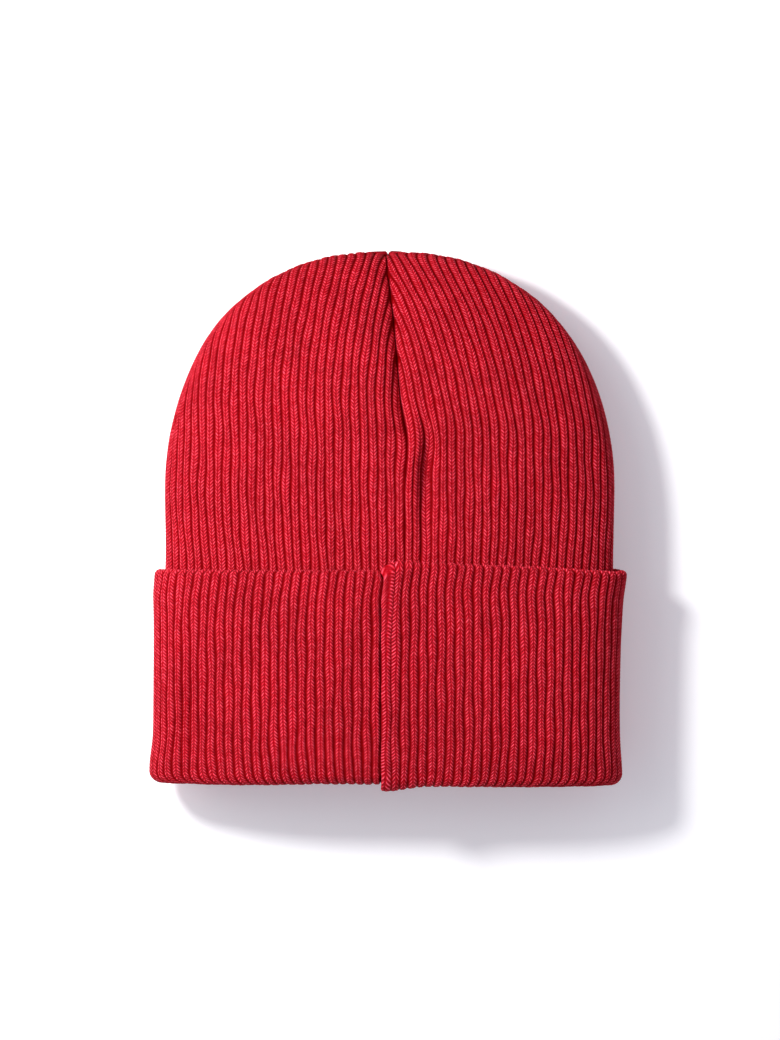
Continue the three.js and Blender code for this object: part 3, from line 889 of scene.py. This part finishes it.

# %% [markdown]
# ## Materials
# The knit is soft acrylic yarn. What makes it look like yarn is the leg of each stitch, painted bright as a
# highlight with painted shade between the legs, a slight change of tone from stitch to stitch, grooves
# painted darker as the shade that falls in them, and pale flecks of loose fibres, partly painted sheen. An
# image of knitting could be wrapped round the hat, but it would repeat and slide off the ribs.
# Here the pattern is worked out from the same wale and course that shaped the mesh. The stitch pattern and
# the fibres are node groups, because more than one material uses them.


# %% Node helpers
class Nodes:
    """A small hand for wiring nodes: each method adds a node, wires its inputs and gives its output."""

    def __init__(self, tree):
        self.tree = tree

    def node(self, kind, inputs=(), **settings):
        made = self.tree.nodes.new(kind)
        for name, value in settings.items():
            setattr(made, name, value)
        for place, value in enumerate(inputs):
            self.put(made.inputs[place], value)
        return made

    def put(self, socket, value):
        if isinstance(value, bpy.types.NodeSocket):
            self.tree.links.new(value, socket)
        elif value is not None:
            socket.default_value = value

    def math(self, operation, *inputs):
        return self.node("ShaderNodeMath", inputs, operation=operation).outputs[0]

    def times(self, first, *others):
        for other in others:
            first = self.math("MULTIPLY", first, other)
        return first

    def line(self, value, slope, start):
        """value·slope + start"""
        return self.math("MULTIPLY_ADD", value, slope, start)

    def ramp(self, value, low, high, to_low=0.0, to_high=1.0):
        inputs = (value, low, high, to_low, to_high)
        return self.node("ShaderNodeMapRange", inputs, interpolation_type="SMOOTHSTEP").outputs[0]

    def mix(self, share, first, second):
        made = self.node("ShaderNodeMix", data_type="RGBA")
        for place, value in ((0, share), (6, first), (7, second)):
            self.put(made.inputs[place], value)
        return made.outputs[2]

    def scale(self, vector, by):
        made = self.node("ShaderNodeVectorMath", [vector], operation="SCALE")
        self.put(made.inputs["Scale"], by)
        return made.outputs[0]

    def noise(self, vector, scale, detail, roughness=0.5):
        inputs = (vector, None, scale, detail, roughness)
        return self.node("ShaderNodeTexNoise", inputs, noise_dimensions="3D").outputs[0]

    def group(self, tree, **inputs):
        made = self.node("ShaderNodeGroup", node_tree=tree)
        for name, value in inputs.items():
            self.put(made.inputs[name], value)
        return made.outputs

    def bump(self, height, distance, strength=1.0):
        made = self.node("ShaderNodeBump")
        for name, value in (("Strength", strength), ("Distance", distance), ("Height", height)):
            self.put(made.inputs[name], value)
        return made.outputs[0]

    def knit_map(self):
        return self.node("ShaderNodeUVMap", uv_map="knit").outputs[0]

    def split(self, vector):
        return self.node("ShaderNodeSeparateXYZ", [vector]).outputs


# %% New groups and materials
def new_group(name, inputs, outputs):
    """A shader node group with named sockets. Gives the group, its helper, its inputs and its output
    node."""
    group = bpy.data.node_groups.new(name, "ShaderNodeTree")
    for socket, (kind, default) in inputs.items():
        made = group.interface.new_socket(socket, in_out="INPUT", socket_type="NodeSocket" + kind)
        if default is not None:
            made.default_value = default
    for socket in outputs:
        group.interface.new_socket(socket, in_out="OUTPUT", socket_type="NodeSocketFloat")
    hand = Nodes(group)
    return group, hand, hand.node("NodeGroupInput").outputs, hand.node("NodeGroupOutput").inputs


def new_material(name, **constants):
    """A material, its helper and its shader. Values that are the same all over go straight on the shader's
    sockets, whose names are written with _ for a space."""
    material = bpy.data.materials.new(name)
    material.use_nodes = True
    skin = material.node_tree.nodes["Principled BSDF"]
    for socket, value in constants.items():
        skin.inputs[socket.replace("_", " ")].default_value = value
    return material, Nodes(material.node_tree), skin.inputs


# %% [markdown]
# ### The stitches of the rib
# A rib's V stitches are pairs of yarn legs that lean away from the crest. A leg lies where a cosine of the
# course, less the lean, is high, and the knit paints it bright as a painted highlight. It fades out towards
# the grooves and at the crest, where the two legs part. Finer stripes across each leg are the plies of the
# yarn, and each leg gets a random tone of its own.

# %% The stitches of the rib
rib_stitches, hand, given, result = new_group(
    "rib_stitches",
    {"Map": ("Vector", None), "Lean": ("Float", STITCH_LEAN)},
    ("Height", "Groove", "Leg", "Tone"),
)
place = hand.split(given["Map"])
rib = hand.math("ROUND", place[0])
from_crest = hand.math("SUBTRACT", place[0], rib)
off_crest = hand.math("ABSOLUTE", from_crest)
phase = hand.math("SUBTRACT", place[1], hand.times(given["Lean"], off_crest))
wave = hand.math("COSINE", hand.times(phase, 2 * np.pi))
on_rib = hand.ramp(off_crest, 0.43, 0.28)
parting = hand.ramp(off_crest, 0.02, 0.13)
leg = hand.times(hand.math("POWER", hand.line(wave, 0.5, 0.5), 2.0), on_rib, parting)
ply = hand.line(off_crest, -9.0, hand.times(place[1], 4.0))
ply = hand.times(hand.math("COSINE", hand.times(ply, 2 * np.pi)), on_rib)
cell = (rib, hand.math("ROUND", phase), hand.math("SIGN", from_crest))
cell = hand.node("ShaderNodeCombineXYZ", cell).outputs[0]
tone = hand.node("ShaderNodeTexWhiteNoise", [cell], noise_dimensions="3D").outputs[0]
hand.put(result["Height"], hand.line(ply, 0.08, leg))
hand.put(result["Groove"], hand.ramp(off_crest, 0.24, 0.49))
hand.put(result["Leg"], leg)
hand.put(result["Tone"], tone)
print(rib_stitches.name, len(rib_stitches.nodes), "nodes")

# %% [markdown]
# ### The loose fibres
# Acrylic yarn is fuzzy: single fibres stand off it and catch the light. As hairs they would be far too
# many, so three noises stand for them: a fine one for the fuzz, a wider one for pale flecks, and a slow one
# for the cloudy tone of a hat that has been handled.

# %% The loose fibres
loose_fibres, hand, given, result = new_group(
    "loose_fibres",
    {"Place": ("Vector", None), "Size": ("Float", 0.4 * mm)},
    ("Fuzz", "Fleck", "Cloud"),
)
fine = hand.scale(given["Place"], hand.math("DIVIDE", 1.0, given["Size"]))
hand.put(result["Fuzz"], hand.noise(fine, 1.0, 3.0, 0.6))
hand.put(result["Fleck"], hand.ramp(hand.noise(fine, 0.55, 1.0), 0.42, 0.68))
hand.put(result["Cloud"], hand.noise(given["Place"], 45.0, 3.0))
print(loose_fibres.name, len(loose_fibres.nodes), "nodes")


def fibres(hand):
    """The loose fibres at the piece's own coordinates."""
    return hand.group(loose_fibres, Place=hand.node("ShaderNodeTexCoord").outputs["Object"])


# %% [markdown]
# ### Rib knit
# The knit is a deep red that hardly shines. Its colour goes from the crest's to the groove's, which is darker
# as painted shade, and to a pinker one on the legs and the flecks, partly the paler fuzz and partly painted
# sheen. All of it is then shaded by the leg, as painted highlight on it and painted shade between the legs,
# and varied by the tone, the clouds and the fuzz, which are the yarn's own. A single red under strong light
# would look like moulded plastic. The lining is the same yarn, painted a little darker as shade inside the
# hat.


# %% Rib knit
def knit_material(name, crest, groove, fuzz_and_sheen_pink):
    """Rib knit. Pinkness, partly painted sheen, is Leg·(0.5·Tone + 0.3) + 0.24·Fleck·(1 − Groove). The shade
    and tone is the product of a line or a ramp of each of Leg, Tone, Cloud and Fuzz, of which the Leg's line
    is painted highlight on the legs and painted shade between them, and the rest is the yarn's own tone."""
    material, hand, skin = new_material(name, Specular_IOR_Level=0.02)
    stitch = hand.group(rib_stitches, Map=hand.knit_map())
    loose = fibres(hand)
    on_rib = hand.math("SUBTRACT", 1.0, stitch["Groove"])
    # Pink for the legs and flecks: partly paler fuzz, partly painted sheen
    legs = hand.times(stitch["Leg"], hand.line(stitch["Tone"], 0.5, 0.3))
    pinkness = hand.line(hand.times(loose["Fleck"], on_rib), 0.24, legs)
    # The groove's colour is darker as painted shade in the grooves
    colour = hand.mix(pinkness, hand.mix(stitch["Groove"], crest, groove), fuzz_and_sheen_pink)
    # The leg's line is painted highlight on the legs and painted shade between them; the tone, cloud and fuzz
    # ramps are the yarn's own tone
    shade_and_tone = hand.times(
        hand.line(stitch["Leg"], 0.95, 0.52),
        hand.line(stitch["Tone"], 0.26, 0.87),
        hand.ramp(loose["Cloud"], 0.3, 0.7, 0.92, 1.06),
        hand.ramp(loose["Fuzz"], 0.35, 0.65, 0.86, 1.14),
    )
    height = hand.line(loose["Fuzz"], 0.5, stitch["Height"])
    hand.put(skin["Base Color"], hand.scale(colour, shade_and_tone))
    hand.put(skin["Roughness"], hand.ramp(loose["Fuzz"], 0.3, 0.7, 0.42, 0.62))
    hand.put(skin["Normal"], hand.bump(height, 0.65 * mm))
    return material


# For each, the colours of the crest, of the groove, darker as painted shade, and of the legs, pinker as fuzz
# and painted sheen
RED = ((0.79, 0.0, 0.010, 1), (0.40, 0.0, 0.002, 1), (1.0, 0.115, 0.18, 1))
# The lining's colours are the outer knit's made darker, as painted shade inside the hat
SHADED_LINING_RED = ((0.70, 0.0, 0.009, 1), (0.36, 0.0, 0.002, 1), (0.92, 0.10, 0.15, 1))
red_knit = knit_material("red_rib_knit", *RED)
shaded_lining_knit = knit_material("red_lining_knit", *SHADED_LINING_RED)
print("knits", red_knit.name, shaded_lining_knit.name)

# %% [markdown]
# ### Seam thread
# Overlock and label are sewn with spun polyester, a smoother and harder thread than the yarn. Its twist
# shows as fine diagonal stripes, a sine of both numbers of the map, and it has a soft shine.


# %% Seam thread
def thread_material(name, light, dark):
    """Spun polyester thread: the light colour where the sine of the twist or the fuzz is high."""
    material, hand, skin = new_material(name, Sheen_Weight=0.2)
    place = hand.split(hand.knit_map())
    loose = fibres(hand)
    twist = hand.line(place[0], 40.0, hand.times(place[1], 26.0))
    twist = hand.line(hand.math("SINE", twist), 0.5, 0.5)
    lightness = hand.line(loose["Fuzz"], 0.5, hand.times(twist, 0.6))
    hand.put(skin["Base Color"], hand.mix(lightness, dark, light))
    hand.put(skin["Roughness"], hand.ramp(loose["Fuzz"], 0.3, 0.7, 0.5, 0.75))
    hand.put(skin["Normal"], hand.bump(twist, 0.08 * mm, 0.6))
    return material


seam_thread = thread_material("red_seam_thread", (0.6, 0.02, 0.045, 1), (0.3, 0.004, 0.012, 1))
print("thread", seam_thread.name)

# %% [markdown]
# ### Label satin
# Satin has long warp floats over a fine weft, which give it its one-way gloss. Two sines of the ribbon's
# own millimetres make the weave, and its woven edges are a little greyer. The label is blank.

# %% Label satin
WARP, WEFT = 0.28, 0.22  # mm from thread to thread
BORDER = (15.6, 16.0)  # mm from the middle, where the woven edge begins
satin, hand, skin = new_material("white_label_satin", Anisotropic=0.5, Sheen_Weight=0.15)
place = hand.split(hand.knit_map())
threads = [hand.math("SINE", hand.times(place[i], 2 * np.pi / gap)) for i, gap in enumerate((WARP, WEFT))]
warp, weft = (hand.line(thread, 0.5, 0.5) for thread in threads)
weave = hand.times(warp, hand.line(weft, 0.4, 0.6))
border = hand.ramp(hand.math("ABSOLUTE", place[0]), *BORDER)
colour = hand.mix(hand.line(weave, 0.5, 0.25), (0.74, 0.72, 0.67, 1), (0.9, 0.885, 0.85, 1))
colour = hand.mix(hand.times(border, 0.35), colour, (0.66, 0.64, 0.6, 1))
hand.put(skin["Base Color"], hand.scale(colour, hand.ramp(fibres(hand)["Cloud"], 0.3, 0.7, 0.95, 1.02)))
hand.put(skin["Roughness"], hand.ramp(weave, 0.0, 1.0, 0.5, 0.34))
hand.put(skin["Normal"], hand.bump(weave, 0.05 * mm, 0.5))
print("satin", satin.name)

# %% Give each piece its material
FINISHES = {
    "body_panel": red_knit,
    "cuff_panel": red_knit,
    "lining_panel": shaded_lining_knit,
    "cuff_inner": shaded_lining_knit,
    "satin_label": satin,
}  # for the pieces whose names start so; the others are thread
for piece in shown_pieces():
    finish = [material for start, material in FINISHES.items() if piece.name.startswith(start)]
    piece.data.materials.clear()
    piece.data.materials.append(finish[0] if finish else seam_thread)

# %% [markdown]
# ## Table, light and camera
# The hat lies on a white table that glows weakly, so that its shadows stay pale. A sun would light both
# sides alike. So a small key light hangs near, to the upper left, which brightens the left side and throws
# a shadow to the lower right. A broad fill light from the same side softens it, and pale light comes from
# all round. The camera looks straight down.

# %% Table
bpy.ops.mesh.primitive_plane_add(size=8, location=(0, 0, 0))
table = bpy.context.object
table.name = "table"
table_paper = new_material(
    "white_table",
    Base_Color=(0.96, 0.96, 0.96, 1),
    Roughness=0.9,
    Specular_IOR_Level=0.0,
    Emission_Color=(0.86, 0.90, 1.0, 1),
    Emission_Strength=0.2,
)[0]
table.data.materials.append(table_paper)
print("table", tuple(table.dimensions))

# %% Light
world = bpy.data.worlds.new("studio")
world.use_nodes = True
sky = world.node_tree.nodes["Background"].inputs
sky["Color"].default_value = (0.93, 0.90, 1.0, 1)
sky["Strength"].default_value = 0.45
bpy.context.scene.world = world


def lamp(name, towards, distance, size, power):
    """A round area light at a distance in a direction, turned to face the hat."""
    light = bpy.data.objects.new(name, bpy.data.lights.new(name, "AREA"))
    light.data.shape = "DISK"
    light.data.size = size
    light.data.energy = power
    away = Vector(towards).normalized()
    light.location = away * distance
    light.rotation_mode = "QUATERNION"
    light.rotation_quaternion = away.to_track_quat("Z", "Y")
    bpy.context.scene.collection.objects.link(light)
    print(name, "at", tuple(round(x, 2) for x in light.location))


lamp("key_light", (-0.86, 0.49, 1.3), distance=0.62, size=0.12, power=3.8)
lamp("fill_light", (-1.0, 0.45, 1.0), distance=1.0, size=0.9, power=3.6)

# %% Camera
CAMERA_HEIGHT = 1.6
SENSOR = 36  # mm, the camera's long side
VIEW_HEIGHT = 465.7 * mm  # what the picture's long side takes in, at the height of the hat's widest part
camera = bpy.data.objects.new("camera", bpy.data.cameras.new("camera"))
camera.data.sensor_width = SENSOR
camera.data.lens = SENSOR * (CAMERA_HEIGHT - THICKNESS / 2) / VIEW_HEIGHT
camera.location = (0.9 * mm, -1.1 * mm, CAMERA_HEIGHT)
bpy.context.scene.collection.objects.link(camera)
bpy.context.scene.camera = camera
bpy.context.scene.view_settings.view_transform = "Standard"
print("lens", round(camera.data.lens, 1), "mm")
